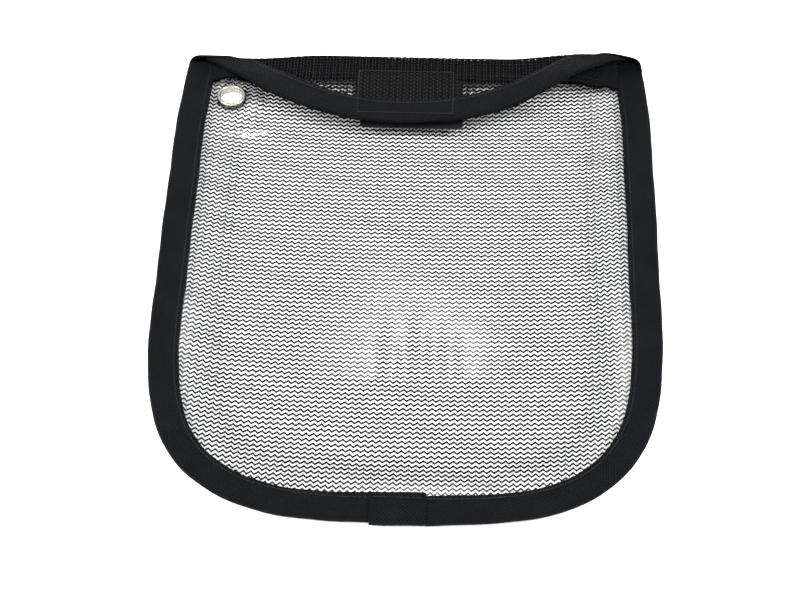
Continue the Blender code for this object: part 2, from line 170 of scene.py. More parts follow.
def pouch_edge(step, top):
    """The outer edge, down the left side, round the bottom and up the right side."""
    turn = np.linspace(0, math.pi / 2, 500)
    x = WIDTH / 2 * np.cos(turn) ** (2 / CORNER_POWER)
    y = CORNER_Y * (1 - np.sin(turn) ** (2 / CORNER_POWER))
    side_y = np.linspace(top, CORNER_Y, 160, endpoint=False)
    right = np.concatenate([np.stack([half_width(side_y), side_y], axis=1), np.stack([x, y], axis=1)])
    return resampled(np.concatenate([right * (-1, 1), right[-2::-1]]), step)


def inward(edge):
    along = np.gradient(edge, axis=0)
    along /= np.linalg.norm(along, axis=1, keepdims=True)
    return np.stack([-along[:, 1], along[:, 0]], axis=1)


NEAR_EDGE = pouch_edge(0.0015, FOLD_Y)


def edge_distance(x, y):
    """Distance from plan points to the pouch's outer edge, not counting the top."""
    x, y = np.broadcast_arrays(np.asarray(x, float), np.asarray(y, float))
    flat = np.stack([x.ravel(), y.ravel()], axis=1)
    found = [
        np.sqrt(((part[:, None, :] - NEAR_EDGE) ** 2).sum(axis=2).min(axis=1))
        for part in np.array_split(flat, max(1, len(flat) // 2000))
    ]
    return np.concatenate(found).reshape(x.shape)


def eyelet_blend(x, y, reach):
    r = np.hypot(np.asarray(x) - EYELET_X, np.asarray(y) - EYELET_Y)
    return smooth((r - CAD_EYELET_R - SEAT_MARGIN) / reach)


def mesh_z(x, y):
    """Underside of the back knit: a shallow dish, flat on the ground in the middle."""
    n = edge_distance(x, y)
    sideways = smooth(np.abs(x) / (WIDTH / 2)) * smooth(np.asarray(y) / CORNER_Y)
    rise = BOTTOM_RISE + (SIDE_RISE - BOTTOM_RISE) * sideways
    rise = rise * (1 - (1 - TOP_RISE_SHARE) * smooth((np.asarray(y) - 0.20) / 0.07))
    step = TAPE_STEP * (1 - smooth((n - BAND - 0.001) / STEP_FALL))
    dish = step + rise * np.clip(1 - n / RISE_REACH, 0, 1) ** 2
    seated = (1 - eyelet_blend(x, y, 0.010)) * smooth((n - BAND + 0.0005) / 0.0015)
    return dish + (EYELET_SEAT - dish) * seated


def film_z(x, y):
    """Underside of the clear front, slack at the mouth."""
    to_mouth = smooth((np.asarray(y) - 0.17) / (FOLD_Y - 0.056 - 0.17))
    reach = CROWN_REACH + (MOUTH_REACH - CROWN_REACH) * to_mouth
    height = CROWN + (MOUTH_CROWN - CROWN) * to_mouth
    inside = np.clip((edge_distance(x, y) - BAND - 0.003) / reach, 0, 1)
    crown = height * smooth(inside) * eyelet_blend(x, y, 0.034)
    at_mouth = smooth((np.asarray(y) - MOUTH_ROW) / 0.0022 + 1)
    lift = MOUTH_LIFT * at_mouth * smooth(inside * reach / 0.003)
    return mesh_z(x, y) + MESH_T + GAP + np.maximum(crown, lift)


def flap_edge_y(x):
    """The flap's curved edge."""
    reach = WIDTH / 2 - TOP_TAPER
    x = np.asarray(x, float)
    x = x - FLAP_SHIFT * (1 - np.clip(np.abs(x) / reach, 0, 1) ** 2)
    t = np.clip(x**2 / reach**2, 0, 1)
    return FOLD_Y - FLAP_DROP + FLAP_DROP * t * (1 + FLAP_SHOULDER * t * (1 - t))


def flap_edge(step):
    x = np.linspace(-1, 1, 401) * (WIDTH / 2 - TOP_TAPER)
    return resampled(np.stack([x, flap_edge_y(x)], axis=1), step)


def flap_z(x, y):
    """Underside of the flap's knit, with its two ends lifted off the pouch."""
    fall = FLAP_FALL * smooth((np.asarray(y) - FOLD_Y + FALL_REACH) / FALL_REACH)
    x = np.asarray(x, float)
    lift = np.where(x < 0, *CORNER_LIFT) * smooth((np.abs(x) - 0.050) / 0.042)
    lift = lift * np.where(x < 0, 1.0, smooth((0.131 - x) / 0.026))
    return FLAP_Z - fall + lift


def roll_point(x, turn):
    """A point on the fold's roll: turn 0 where it leaves the back, 1 where it reaches the flap."""
    low = mesh_z(x, np.full_like(x, FOLD_Y)) + MESH_T / 2
    high = flap_z(x, np.full_like(x, FOLD_Y)) + MESH_T / 2
    angle = (turn - 0.5) * math.pi
    return FOLD_Y + ROLL_BULGE * np.cos(angle), (low + high) / 2 + (high - low) / 2 * np.sin(angle)


# Mesh building


def placed(points):
    points = np.asarray(points, float)
    return points + (0, ORIGIN_Y, 0)


def linked(name, data):
    """Shades a finished mesh and puts it in the scene."""
    data.shade_smooth()
    data.set_sharp_from_angle(angle=math.radians(50))
    made = bpy.data.objects.new(name, data)
    bpy.context.collection.objects.link(made)
    return made


def made_object(name, verts, faces, looks, uvs=None, slots=None):
    """An object whose faces all have the same number of corners."""
    data = bpy.data.meshes.new(name)
    faces = np.asarray(faces)
    corners = faces.shape[1]
    data.vertices.add(len(verts))
    data.vertices.foreach_set("co", placed(verts).astype(np.float32).ravel())
    data.loops.add(faces.size)
    data.loops.foreach_set("vertex_index", faces.astype(np.int32).ravel())
    data.polygons.add(len(faces))
    data.polygons.foreach_set("loop_start", np.arange(0, faces.size, corners, dtype=np.int32))
    for look in looks:
        data.materials.append(look)
    if slots is not None:
        data.polygons.foreach_set("material_index", np.asarray(slots, np.int32))
    if uvs is not None:
        layer = data.uv_layers.new(name="weave")
        layer.data.foreach_set("uv", np.asarray(uvs, np.float32).ravel())
    data.update(calc_edges=True)
    data.validate()
    return linked(name, data)


class Builder:
    """Collects quads of many small bodies into one mesh."""

    def __init__(self):
        self.verts, self.faces, self.uvs, self.slots, self.count = [], [], [], [], 0

    def grid(self, points, closed=True, caps=True, slot=0):
        """Quads over rings of points[i, j]; closed joins each ring's end to its start."""
        points = np.asarray(points, float)
        rings, across = points.shape[:2]
        index = np.arange(rings * across).reshape(rings, across) + self.count
        middles = points.mean(axis=1)
        run = np.concatenate([[0], np.cumsum(np.linalg.norm(np.diff(middles, axis=0), axis=1))])
        ring = points[rings // 2]
        around = np.linalg.norm(np.roll(ring, -1, axis=0) - ring, axis=1)
        girth = np.concatenate([[0], np.cumsum(around)])
        last = across if closed else across - 1
        i, j = np.meshgrid(np.arange(rings - 1), np.arange(last), indexing="ij")
        i, j = i.ravel(), j.ravel()
        k = (j + 1) % across
        quads = [index[i, j], index[i, k], index[i + 1, k], index[i + 1, j]]
        self.faces.append(np.stack(quads, axis=1))
        u, v = run / MM, girth / MM
        corners = [(u[i], v[j]), (u[i], v[j + 1]), (u[i + 1], v[j + 1]), (u[i + 1], v[j])]
        self.uvs.append(np.stack([np.stack(corner, axis=1) for corner in corners], axis=1))
        self.slots.append(np.full(len(i), slot))
        if caps and closed:
            self.cap(index[0][::-1], slot)
            self.cap(index[-1], slot)
        self.verts.append(points.reshape(-1, 3))
        self.count += rings * across

    def cap(self, ring, slot):
        """Closes a ring with quads from one side to the other, and a last triangle if its length is odd."""
        ring = list(ring)
        quads = []
        while len(ring) >= 4:
            quads.append((ring[0], ring[1], ring[-2], ring[-1]))
            ring = ring[1:-1]
        if len(ring) == 3:
            quads.append((ring[0], ring[1], ring[2], ring[2]))
        self.faces.append(np.array(quads))
        self.uvs.append(np.zeros((len(quads), 4, 2)))
        self.slots.append(np.full(len(quads), slot))

    def tube(self, path, normal, half_width, half_thick, sides, slot=0):
        """A closed tube along a path, its section an ellipse that lies in the cloth."""
        path, normal = np.asarray(path, float), np.asarray(normal, float)
        along = np.gradient(path, axis=0)
        along /= np.linalg.norm(along, axis=1, keepdims=True)
        side = np.cross(along, normal)
        side /= np.linalg.norm(side, axis=1, keepdims=True)
        up = np.cross(side, along)
        a = (np.arange(sides) + 0.5) * 2 * math.pi / sides
        ring = np.cos(a)[None, :, None] * side[:, None, :] * half_width
        ring = ring + np.sin(a)[None, :, None] * up[:, None, :] * half_thick
        self.grid(path[:, None, :] + ring, slot=slot)

    def finish(self, name, looks):
        faces = np.concatenate(self.faces)
        uvs = np.concatenate(self.uvs)
        slots = np.concatenate(self.slots)
        verts = np.concatenate(self.verts)
        triangles = faces[:, 2] == faces[:, 3]
        if triangles.any():
            data_faces = [tuple(f[:3]) if t else tuple(f) for f, t in zip(faces.tolist(), triangles)]
            return self.mixed(name, verts, data_faces, uvs, slots, looks)
        return made_object(name, verts, faces, looks, uvs, slots)

    def mixed(self, name, verts, faces, uvs, slots, looks):
        """An object of quads and triangles."""
        data = bpy.data.meshes.new(name)
        data.from_pydata(placed(verts).tolist(), [], faces)
        for look in looks:
            data.materials.append(look)
        data.polygons.foreach_set("material_index", np.asarray(slots, np.int32))
        layer = data.uv_layers.new(name="weave")
        kept = np.concatenate([uv[: len(face)] for uv, face in zip(uvs, faces)])
        layer.data.foreach_set("uv", kept.astype(np.float32).ravel())
        data.update(calc_edges=True)
        return linked(name, data)


# Materials


def node(tree, kind, inputs=(), **settings):
    """Adds a shader node. inputs are its sockets by name or number, each a value or another socket."""
    made = tree.nodes.new("ShaderNode" + kind)
    for name, value in settings.items():
        setattr(made, name, value)
    for key, value in dict(inputs).items():
        if isinstance(value, bpy.types.NodeSocket):
            tree.links.new(value, made.inputs[key])
        else:
            made.inputs[key].default_value = value
    return made.outputs[0]


def maths(tree, operation, a, b=0.0):
    return node(tree, "Math", {0: a, 1: b}, operation=operation)


def blank(name, roughness, metallic=0.0):
    made = bpy.data.materials.new(name)
    made.use_nodes = True
    shader = made.node_tree.nodes["Principled BSDF"]
    shader.inputs["Roughness"].default_value = roughness
    shader.inputs["Metallic"].default_value = metallic
    return made, made.node_tree, shader


def tinted(tree, shader, share, dark, light):
    """Base colour between two colours, by a 0 to 1 socket."""
    colour = node(tree, "MixRGB", {0: share, 1: (*dark, 1), 2: (*light, 1)})
    tree.links.new(colour, shader.inputs["Base Color"])


def bumped(tree, shader, height, strength, distance):
    bump = node(tree, "Bump", {"Height": height, "Strength": strength, "Distance": distance})
    tree.links.new(bump, shader.inputs["Normal"])


def woven_tape():
    """Polyester binding: ribs crossed by picks, with a little lint. Its UVs are in millimetres."""
    made, tree, shader = blank("woven_tape", 0.62)
    shader.inputs["Specular IOR Level"].default_value = 0.03
    uv = node(tree, "TexCoord").node.outputs["UV"]
    split = node(tree, "SeparateXYZ", {0: uv})
    along, across = split.node.outputs[0], split.node.outputs[1]
    rib_width, pick_width = 2.1, 1.9
    rib = maths(tree, "SINE", maths(tree, "MULTIPLY", across, 2 * math.pi / rib_width))
    pick = maths(tree, "SINE", maths(tree, "MULTIPLY", along, 2 * math.pi / pick_width))
    crossed = maths(tree, "MULTIPLY", rib, pick)
    cell = node(tree, "Math", {0: crossed, 1: 0.5, 2: 0.5}, operation="MULTIPLY_ADD")
    fine = node(tree, "TexNoise", {"Vector": uv, "Scale": 3.2, "Detail": 3.0})
    wide = node(tree, "TexNoise", {"Vector": uv, "Scale": 0.07, "Detail": 2.0})
    share = maths(tree, "ADD", maths(tree, "MULTIPLY", cell, 0.75), maths(tree, "MULTIPLY", fine, 0.35))
    share = maths(tree, "ADD", share, maths(tree, "MULTIPLY", wide, 0.45))
    share = maths(tree, "SUBTRACT", share, 0.35)
    tinted(tree, shader, share, (0.0002, 0.0003, 0.0004), (0.0054, 0.0060, 0.0074))
    height = maths(tree, "ADD", cell, maths(tree, "MULTIPLY", fine, 0.35))
    bumped(tree, shader, height, 1.0, 0.0007)
    return made


def black_yarn():
    made, tree, shader = blank("black_yarn", 0.62)
    shader.inputs["Specular IOR Level"].default_value = 0.04
    place = node(tree, "TexCoord").node.outputs["Object"]
    fibre = node(tree, "TexNoise", {"Vector": place, "Scale": 2600.0, "Detail": 2.0})
    tinted(tree, shader, fibre, (0.0006, 0.0006, 0.0008), (0.0030, 0.0030, 0.0034))
    bumped(tree, shader, fibre, 0.4, 0.0001)
    return made


def fine_leg():
    """The knit's thin connecting threads, a little lighter than its rows."""
    made, tree, shader = blank("fine_leg", 0.45)
    place = node(tree, "TexCoord").node.outputs["Object"]
    tone = node(tree, "TexNoise", {"Vector": place, "Scale": 900.0, "Detail": 1.0})
    tinted(tree, shader, tone, (0.008, 0.008, 0.009), (0.030, 0.030, 0.032))
    return made


def clear_film():
    """Thin clear vinyl: seen through, with a weak gloss that wavers a little."""
    made, tree, shader = blank("clear_film", 0.10)
    tree.nodes.remove(shader)
    place = node(tree, "TexCoord").node.outputs["Object"]
    ripple = node(tree, "TexNoise", {"Vector": place, "Scale": 38.0, "Detail": 3.0})
    bump = node(tree, "Bump", {"Height": ripple, "Strength": 0.35, "Distance": 0.0009})
    gloss = node(tree, "BsdfGlossy", {"Color": (1, 1, 1, 1), "Roughness": 0.17, "Normal": bump})
    clear = node(tree, "BsdfTransparent", {"Color": (0.992, 0.994, 0.995, 1)})
    facing = node(tree, "LayerWeight", {"Blend": 0.5, "Normal": bump}).node.outputs["Facing"]
    grazing = maths(tree, "MULTIPLY", maths(tree, "POWER", facing, 4.0), 0.30)
    share = maths(tree, "ADD", grazing, 0.007)
    mixed = node(tree, "MixShader", {0: share, 1: clear, 2: gloss})
    tree.links.new(mixed, tree.nodes["Material Output"].inputs["Surface"])
    return made


def plated_metal():
    made, tree, shader = blank("nickel_plate", 0.24, 1.0)
    place = node(tree, "TexCoord").node.outputs["Object"]
    tone = node(tree, "TexNoise", {"Vector": place, "Scale": 420.0, "Detail": 4.0})
    tinted(tree, shader, tone, (0.13, 0.12, 0.105), (0.40, 0.38, 0.34))
    scuff = node(tree, "MapRange", {"Value": tone, 3: 0.16, 4: 0.40})
    tree.links.new(scuff, shader.inputs["Roughness"])
    bumped(tree, shader, tone, 0.15, 0.0002)
    return made


def fibre_mat(name, dark, light, scale, roughness):
    made, tree, shader = blank(name, roughness)
    shader.inputs["Specular IOR Level"].default_value = 0.12
    place = node(tree, "TexCoord").node.outputs["Object"]
    tone = node(tree, "TexNoise", {"Vector": place, "Scale": scale, "Detail": 3.0})
    tinted(tree, shader, tone, dark, light)
    bumped(tree, shader, tone, 0.5, 0.0002)
    return made


TAPE = woven_tape()
YARN = black_yarn()
LEG = fine_leg()
FILM = clear_film()
METAL = plated_metal()
THREAD = fibre_mat("polyester_thread", (0.0015, 0.0016, 0.0020), (0.0110, 0.0115, 0.0130), 3000.0, 0.5)
HOOKS = fibre_mat("nylon_hooks", (0.0010, 0.0010, 0.0012), (0.0060, 0.0060, 0.0068), 1500.0, 0.42)
LOOPS = fibre_mat("brushed_loops", (0.0010, 0.0010, 0.0012), (0.0080, 0.0080, 0.0090), 1200.0, 0.9)


# The knit


def zigzag(i):
    """Height of the rows' vertex number i over the row's own line."""
    return np.where(np.asarray(i) % 2 == 0, 0.5, -0.5) * ZIGZAG


def cloth_point(x, s):
    """Point and normal of the one piece of knit that runs up the back, round the fold and down the flap."""
    x, s = np.asarray(x, float), np.asarray(s, float)
    turn = np.clip((s - FOLD_Y) / ROLL_LENGTH, 0, 1)
    x = x + FOLD_SKEW * turn
    roll_y, roll_z = roll_point(x, turn)
    flap_y = FOLD_Y - (s - FOLD_Y - ROLL_LENGTH)
    back, flap = s < FOLD_Y, s > FOLD_Y + ROLL_LENGTH
    y = np.where(back, s, np.where(flap, flap_y, roll_y))
    z = np.where(back, mesh_z(x, np.minimum(s, FOLD_Y)) + MESH_T / 2, roll_z)
    z = np.where(flap, flap_z(x, flap_y) + MESH_T / 2, z)
    angle = (turn - 0.5) * math.pi
    normal = np.stack([np.zeros_like(x), np.cos(angle), np.sin(angle)], axis=-1)
    return np.stack([x, y, z], axis=-1), normal


def knit_inside(x, s):
    """Where the cloth is, with its cut edges inside the tape."""
    back = s <= FOLD_Y
    flap_y = FOLD_Y - (s - FOLD_Y - ROLL_LENGTH)
    on_back = edge_distance(x, np.minimum(s, FOLD_Y)) > KNIT_INSET
    on_back &= (s > KNIT_INSET) & (np.hypot(x - EYELET_X, s - EYELET_Y) > EYELET_BORE_R + 0.0008)
    on_roll = np.abs(x) < half_width(FOLD_Y) - KNIT_INSET - 0.004
    on_flap = flap_y > flap_edge_y(x) + KNIT_INSET
    on_back &= np.abs(x) < half_width(np.minimum(s, FOLD_Y)) - KNIT_INSET
    return np.where(back, on_back, np.where(s <= FOLD_Y + ROLL_LENGTH, on_roll, on_flap & on_roll))


def knit():
    """Rows of zigzag yarn joined by thin legs, sorted into the back, fold and flap pieces."""
    half_count = int(KNIT_REACH / PERIOD * 2)
    vertex = np.arange(-half_count, half_count + 1)
    x = (vertex // 2 + (vertex % 2) * FALL_SHARE) * PERIOD
    total = FOLD_Y + ROLL_LENGTH + FLAP_DROP
    count = int((total + SAG) / PITCH) + 1
    smile = SAG * (np.abs(x) / 0.12) ** 2.2
    lines = [k * PITCH - SAG / 2 + smile for k in range(-2, count)]
    pieces = {"back": Builder(), "fold": Builder(), "flap": Builder()}

    def row(k):
        """Where each vertex of row k lies along the cloth."""
        wander = 0.00012 * np.sin(x * 61 + k * 0.7) + 0.00008 * np.sin(x * 143 + k * 0.9)
        return lines[k] + wander + zigzag(vertex)

    def piece_of(s):
        middle = s.mean()
        if middle < FOLD_Y - 0.001:
            return pieces["back"]
        return pieces["fold"] if middle < FOLD_Y + ROLL_LENGTH + 0.002 else pieces["flap"]

    for k, line in enumerate(lines):
        s = row(k)
        inside = knit_inside(x, s)
        starts = np.flatnonzero(inside & ~np.append(False, inside[:-1]))
        ends = np.flatnonzero(inside & ~np.append(inside[1:], False)) + 1
        for a, b in zip(starts, ends):
            if b - a < 3:
                continue
            points, normals = cloth_point(x[a:b], s[a:b])
            width = FLAP_YARN_W if line.mean() > FOLD_Y + ROLL_LENGTH else YARN_W
            piece_of(s[a:b]).tube(points, normals, width, YARN_T, 5)
        if k + 1 == len(lines):
            continue
        above = row(k + 1)
        both = inside & knit_inside(x, above)
        for i in np.flatnonzero(both):
            ends_s = np.array([s[i] + YARN_W * 0.4, above[i] - YARN_W * 0.4])
            points, normals = cloth_point(np.array([x[i], x[i]]), ends_s)
            piece_of(ends_s).tube(points, normals, LEG_R, LEG_R, 3, slot=1)
    return pieces


pieces = knit()
knit_back = pieces["back"].finish("knit_back", [YARN, LEG])
knit_fold = pieces["fold"].finish("knit_fold", [YARN, LEG])
knit_flap = pieces["flap"].finish("knit_flap", [YARN, LEG])


# The clear front


def wrinkle(x, y):
    """The vinyl's creases: soft waves, a few upright folds low down, and a pucker by the eyelet."""
    n = edge_distance(x, y)
    inside = smooth((n - BAND - 0.004) / 0.02) * smooth((MOUTH_ROW - 0.004 - y) / 0.02)
    waves = 0.00035 * np.sin(x * 47 + y * 21) * np.sin(y * 39 - x * 11 + 1.0)
    low_x, low_y = x - 0.008, y - 0.075
    upright = 0.0005 * np.exp(-((low_x / 0.018) ** 2) - (low_y / 0.028) ** 2) * np.cos(low_x * 420)
    beside_x, beside_y = x + 0.094, y - 0.258
    pucker = 0.0006 * np.exp(-((beside_x / 0.017) ** 2) - (beside_y / 0.008) ** 2) * np.cos(beside_y * 600)
    return (waves + upright) * inside + pucker * smooth((n - BAND - 0.002) / 0.006)


def film_sheet():
    """Two skins over a grid that narrows with the pouch, joined at their rim and round the eyelet's hole."""
    inset = 0.0024
    height = np.linspace(inset, MOUTH_Y - 0.0022, 190)
    edge = pouch_edge(0.001, FOLD_Y + 0.003)
    inner = edge + inward(edge) * inset
    right = inner[inner[:, 0] > 0.001]
    right = right[np.argsort(right[:, 1])]
    height = height[height > right[0, 1] + 0.0006]
    reach = np.interp(height, right[:, 1], right[:, 0])
    u = np.sin(np.linspace(-math.pi / 2, math.pi / 2, 151))
    x = reach[:, None] * u[None, :]
    y = np.repeat(height[:, None], len(u), axis=1)
    z = film_z(x, y) + wrinkle(x, y)
    near = np.hypot(x - EYELET_X, y - EYELET_Y)
    push = np.clip(EYELET_BORE_R + 0.0012 - near, 0, None) / np.maximum(near, 1e-6)
    x, y = x + (x - EYELET_X) * push, y + (y - EYELET_Y) * push
    low, high = np.stack([x, y, z], axis=-1), np.stack([x, y, z + FILM_T], axis=-1)
    rows, columns = x.shape
    flat = np.concatenate([low.reshape(-1, 3), high.reshape(-1, 3)])
    index = np.arange(rows * columns).reshape(rows, columns)
    hole = EYELET_BORE_R + 0.0004
    keep = (near[:-1, :-1] > hole) | (near[1:, 1:] > hole)
    a, b, c, d = (index[:-1, :-1], index[:-1, 1:], index[1:, 1:], index[1:, :-1])
    quads = np.stack([a, b, c, d], axis=-1)[keep]
    faces = np.concatenate([quads[:, ::-1], quads + rows * columns])
    sides = {}
    for quad in quads:
        for p, q in zip(quad, np.roll(quad, -1)):
            if (q, p) in sides:
                del sides[(q, p)]
            else:
                sides[(p, q)] = True
    rim = np.array([(p, q, q + rows * columns, p + rows * columns) for p, q in sides])
    made = made_object("clear_film", flat, np.concatenate([faces, rim]), [FILM])
    sheet = bmesh.new()
    sheet.from_mesh(made.data)
    bmesh.ops.delete(sheet, geom=[v for v in sheet.verts if not v.link_faces], context="VERTS")
    sheet.to_mesh(made.data)
    sheet.free()
    return made


film = film_sheet()


# Binding tape


def tape_profile(layers, clear, band, extra=0.0, inner=0.0, outer=0.0, squeeze=1.0):
    """Folded tape as a closed ring of (distance in from the fold, height over the layers' underside).

    extra thickens its upper half, inner and outer widen it at either edge, and squeeze presses it flat.
    """
    low, high = (-clear - TAPE_T) * squeeze, (layers + clear + TAPE_T + extra) * squeeze
    middle, radius = (low + high) / 2, (high - low) / 2
    round_x = min(radius, 0.0022)
    start = round_x - outer
    brim = band + inner
    turn = np.linspace(-math.pi / 2, math.pi / 2, 13)
    fold = [(-outer + round_x * (1 - math.cos(a)), middle + radius * math.sin(a)) for a in turn]
    web, dome = 0.0012, 0.00022
    spread = np.linspace(0.18, 0.94, 6)
    over = [(start + (brim - start) * t, high + dome * math.sin(math.pi * t)) for t in spread]
    edge_over = [(brim - 0.0001, high - 0.00010), (brim, high - 0.0004), (brim, layers + clear)]
    inside = [(web + 0.0030, layers * 0.98 + clear), (web, layers / 2), (web + 0.0030, -clear * 0.98)]
    edge_under = [(band, -clear), (band, low + 0.0004), (band - 0.0001, low + 0.0001)]
    under = [(start + (band - start) * t, low) for t in spread[::-1]]
    return fold + over + edge_over + inside + edge_under + under


def perimeter_tape():
    """The tape round the pouch, stepped where its ends lap at the bottom."""
    lap_left, lap_right = LAP_MIDDLE_X - LAP_HALF, LAP_MIDDLE_X + LAP_HALF
    edge = pouch_edge(0.0026, FOLD_Y)
    steps = [LAP_MIDDLE_X + side * (LAP_HALF + slack) for side in (-1, 1) for slack in (0, 0.00025)]
    lap = [(x, np.interp(x, edge[:, 0], edge[:, 1])) for x in steps]
    low = edge[:, 1] < BOTTOM_Y
    bottom = sorted([tuple(p) for p in edge[low]] + lap)
    first = int(np.argmax(low))
    edge = np.concatenate([edge[:first], bottom, edge[first + low.sum():]])
    made = Builder()
    rings = []
    for k, ((x, y), (nx, ny)) in enumerate(zip(edge, inward(edge))):
        at_bottom = y < BOTTOM_Y
        lapped = at_bottom and abs(x - LAP_MIDDLE_X) <= LAP_HALF + 1e-6
        left_end = at_bottom and x <= lap_right + 1e-6
        right_end = at_bottom and x >= lap_left - 1e-6
        inner = LAP_OFFSET * smooth(1 - (lap_right - x) / LAP_REACH) if left_end else 0.0
        outer = LAP_OFFSET * smooth(1 - (x - lap_left) / LAP_REACH) if right_end else 0.0
        section = np.array(tape_profile(SEWN_T, GAP, BAND, LAP_T * lapped, inner, outer))
        wave = 0.00016 * math.sin(k * 0.23) + 0.00008 * math.sin(k * 0.61 + 1)
        at = np.stack([x + nx * (section[:, 0] + wave), y + ny * (section[:, 0] + wave)], axis=1)
        floor = mesh_z(at[:, 0], at[:, 1])
        z = floor + section[:, 1] + 0.00012 * math.sin(k * 0.57)
        rings.append(np.column_stack([at, np.maximum(z, 0.00005)]))
    made.grid(rings)
    return made.finish("perimeter_tape", [TAPE])


def mouth_tilt(x):
    """How far the mouth tape's fold rises to lie just under the cloth of the fold."""
    x = np.asarray(x, float)
    top = film_z(x, np.full_like(x, MOUTH_Y)) + FILM_T + MOUTH_GAP + TAPE_T
    return np.clip(flap_z(x, np.full_like(x, FOLD_Y)) - 0.0002 - top, 0, 0.006)


def mouth_tape():
    """The tape over the film's free edge, pressed thin where it goes under the perimeter tape."""
    reach = float(half_width(MOUTH_Y)) - BAND + 0.0012
    band = MOUTH_BAND + MOUTH_TUCK
    made = Builder()
    rings = []
    for x in np.linspace(-reach, reach, 97):
        squeeze = 1 - 0.45 * float(smooth((abs(x) - reach + 0.012) / 0.009))
        section = np.array(tape_profile(FILM_T, MOUTH_GAP, band, squeeze=squeeze))
        y = MOUTH_Y + MOUTH_TUCK - section[:, 0] + 0.0002 * math.sin(x * 170)
        z = film_z(np.full(len(y), x), np.minimum(y, MOUTH_Y)) + section[:, 1] + (1 - squeeze) * 0.0016
        z += mouth_tilt(x) * np.clip((y - MOUTH_Y + MOUTH_BAND) / band, 0, 1)
        rings.append(np.column_stack([np.full(len(y), x), y, z]))
    made.grid(rings)
    return made.finish("mouth_tape", [TAPE])


def flap_tape():
    """The tape along the flap's curve, cut off short of the fold so that it clears the pouch when open."""
    edge = flap_edge(0.0026)
    section = np.array(tape_profile(MESH_T, GAP, BAND))
    made = Builder()
    rings = []
    for k, ((x, y), (nx, ny)) in enumerate(zip(edge, inward(edge))):
        room = (FOLD_Y - 0.0006 - y) / max(ny, 0.05)
        wave = 0.0002 * math.sin(k * 0.23 + 2) + 0.0001 * math.sin(k * 0.57)
        n = np.minimum(section[:, 0] + wave, max(room, 0.0012))
        px, py = x + nx * n, y + ny * n
        px = px - np.sign(px) * CORNER_ROUND * smooth((np.abs(px) - 0.105) / 0.022)
        py = np.minimum(py, FOLD_Y - 0.0010)
        z = flap_z(px, py) + section[:, 1]
        rings.append(np.column_stack([px, py, z]))
    made.grid(rings)
    return made.finish("flap_tape", [TAPE])


def corner_tape(name, side):
    """The perimeter tape where it turns over the fold and becomes the flap's tape."""
    outermost = float(half_width(FOLD_Y))
    out = 0.0012 if side > 0 else 0.0006
    turns = np.linspace(0, 1, 19)
    angle = (turns - 0.5) * math.pi
    normal_y, normal_z = np.cos(angle), np.sin(angle)
    made = Builder()
    rings = []
    for share in np.linspace(0, 1, 22):
        pulled = CORNER_ROUND * turns**2 * (1 - share)
        xs = side * (outermost - CORNER_REACH * share - pulled)
        rounding = math.sqrt(max(0.0, 1 - max(0.0, 1 - share * CORNER_REACH / 0.0060) ** 2))
        thin = smooth((1 - share) / 0.25) * 0.75 + 0.25
        half = (0.0004 + 0.0009 * rounding) * thin
        bulge = out * rounding - 0.0018 * (1 - rounding)
        roll_y, roll_z = roll_point(xs, turns)
        cy, cz = roll_y + bulge * normal_y, roll_z + 0.0009 * (1 - turns)
        over = np.column_stack([xs, cy + half * normal_y, cz + half * normal_z])
        under = np.column_stack([xs, cy - half * normal_y, cz - half * normal_z])
        rings.append(np.concatenate([over, under[::-1]]))
    made.grid(rings)
    return made.finish(name, [TAPE])


perimeter = perimeter_tape()
mouth = mouth_tape()
flap_band = flap_tape()
corner_left = corner_tape("corner_tape_left", -1)
corner_right = corner_tape("corner_tape_right", 1)


# Seams


def stitches(name, path, length=0.0026, closed=False):
    """Lockstitches along a path: short threads that dip into the cloth between holes."""
    path = np.asarray(path, float)
    if closed:
        path = np.concatenate([path, path[:1]])
    line = resampled(path, length)
    made = Builder()
    dip = np.array([-0.00030, 0.0, 0.00006, 0.0, -0.00030])
    share = np.array([0.04, 0.16, 0.5, 0.84, 0.96])
    for a, b in zip(line, line[1:]):
        points = a + (b - a) * share[:, None] + np.array([0, 0, 1.0]) * dip[:, None]
        made.tube(points, np.tile((0, 0, 1.0), (5, 1)), THREAD_R * 1.1, THREAD_R * 0.9, 6)
    return made.finish(name, [THREAD])


def seam_line(edge, inset, step=0.0013):
    return resampled(edge + inward(edge) * inset, step)


line = seam_line(pouch_edge(0.003, FOLD_Y - 0.003), STITCH_INSET)
lapped = (line[:, 1] < 0.03) & (np.abs(line[:, 0] - LAP_MIDDLE_X) < LAP_HALF)
floor = mesh_z(line[:, 0], line[:, 1])
over = floor + SEWN_T + GAP + TAPE_T + 0.00012 + LAP_T * lapped
under = np.maximum(floor - GAP - TAPE_T - 0.00005, 0.0004)
seam_over = stitches("perimeter_stitches", np.column_stack([line, over]))
seam_under = stitches("perimeter_stitches_under", np.column_stack([line, under]))

mx = np.linspace(-1, 1, 90) * (float(half_width(MOUTH_Y)) - BAND - 0.0095)
my = np.full(len(mx), MOUTH_Y - MOUTH_STITCH_INSET)
mz = film_z(mx, my) + mouth_tilt(mx) * (MOUTH_BAND - MOUTH_STITCH_INSET) / (MOUTH_BAND + MOUTH_TUCK)
mouth_top, mouth_floor = mz + FILM_T + MOUTH_GAP + TAPE_T + 0.0001, mz - MOUTH_GAP - TAPE_T - 0.0001
mouth_over = stitches("mouth_stitches", np.column_stack([mx, my, mouth_top]))
mouth_under = stitches("mouth_stitches_under", np.column_stack([mx, my, mouth_floor]))

line = seam_line(flap_edge(0.003), STITCH_INSET)
line = line[line[:, 1] < FOLD_Y - 0.003]
fz = flap_z(line[:, 0], line[:, 1])
flap_over = stitches("flap_stitches", np.column_stack([line, fz + MESH_T + GAP + TAPE_T + 0.0001]))
flap_under = stitches("flap_stitches_under", np.column_stack([line, fz - GAP - TAPE_T - 0.0001]))


